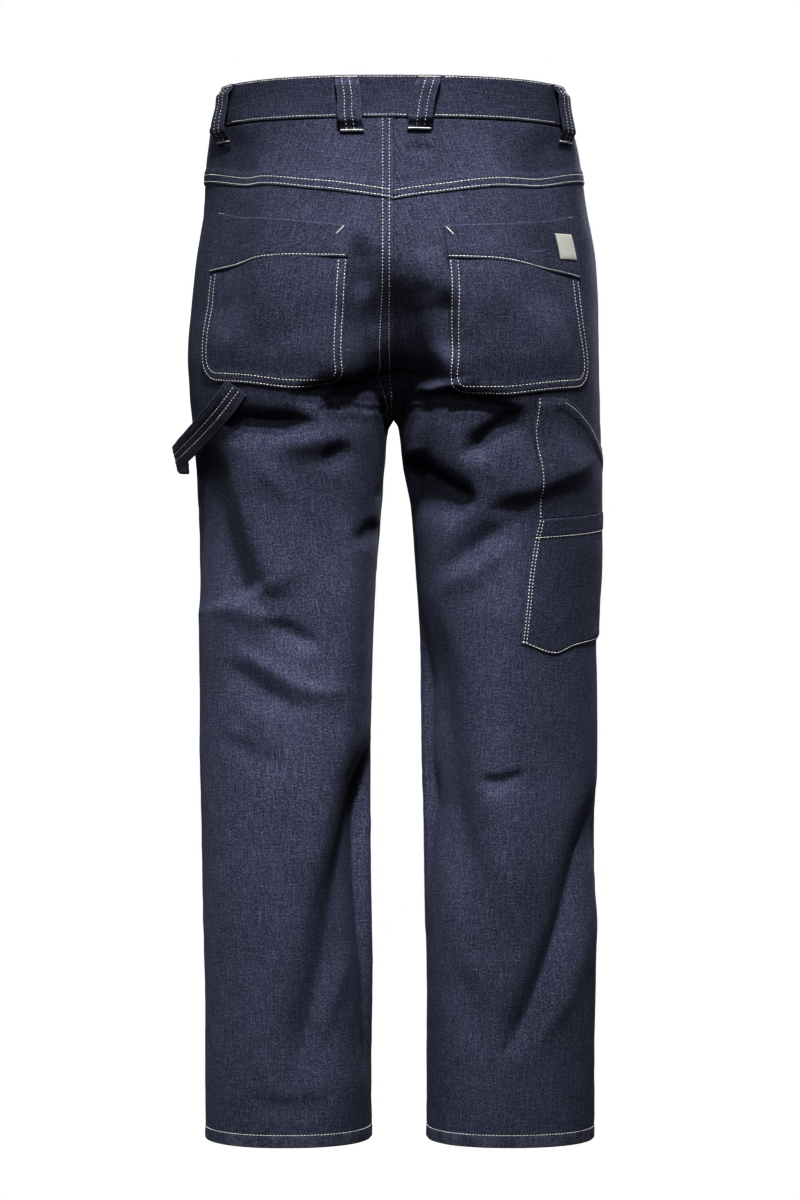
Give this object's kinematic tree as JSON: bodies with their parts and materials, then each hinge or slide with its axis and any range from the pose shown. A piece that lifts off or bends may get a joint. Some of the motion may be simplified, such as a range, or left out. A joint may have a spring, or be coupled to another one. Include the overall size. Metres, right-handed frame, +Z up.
{
  "type": "carpenter jeans, filled out as worn",
  "caption": "Straight carpenter jeans in dark raw denim with light topstitching, filled out with no wearer, with patch pockets, tool pockets and a hammer loop.",
  "frame": {"origin": "centre of the waist opening, at the middle of the waistband's height", "axes": "+Z up towards the waist, -Y the garment's front, +X the garment's own left side"},
  "size_m": [0.4463, 0.2602, 1.0858],
  "materials": {
    "denim": "matt dark indigo twill, unwashed",
    "label_cloth": "off-white woven tape, blank",
    "button_metal": "aged, satin",
    "thread": "off-white cotton topstitching"
  },
  "bodies": {
    "root": {"waistband": "denim", "back_yoke_left": "denim", "back_yoke_right": "denim", "back_panel_left": "denim", "back_panel_right": "denim", "front_panel_left": "denim", "front_panel_right": "denim", "back_pocket_left": "denim", "back_pocket_right": "denim", "back_pocket_facing_left": "denim", "back_pocket_facing_right": "denim", "pocket_label": "label_cloth", "tool_pocket_upper": "denim", "tool_pocket_lower": "denim", "hammer_loop": "denim", "belt_loop_back_left": "denim", "belt_loop_back_right": "denim", "belt_loop_side_left": "denim", "belt_loop_side_right": "denim", "belt_loop_front_left": "denim", "belt_loop_front_right": "denim", "fly_front": "denim", "waist_button": "button_metal"}
  },
  "joints": []
}
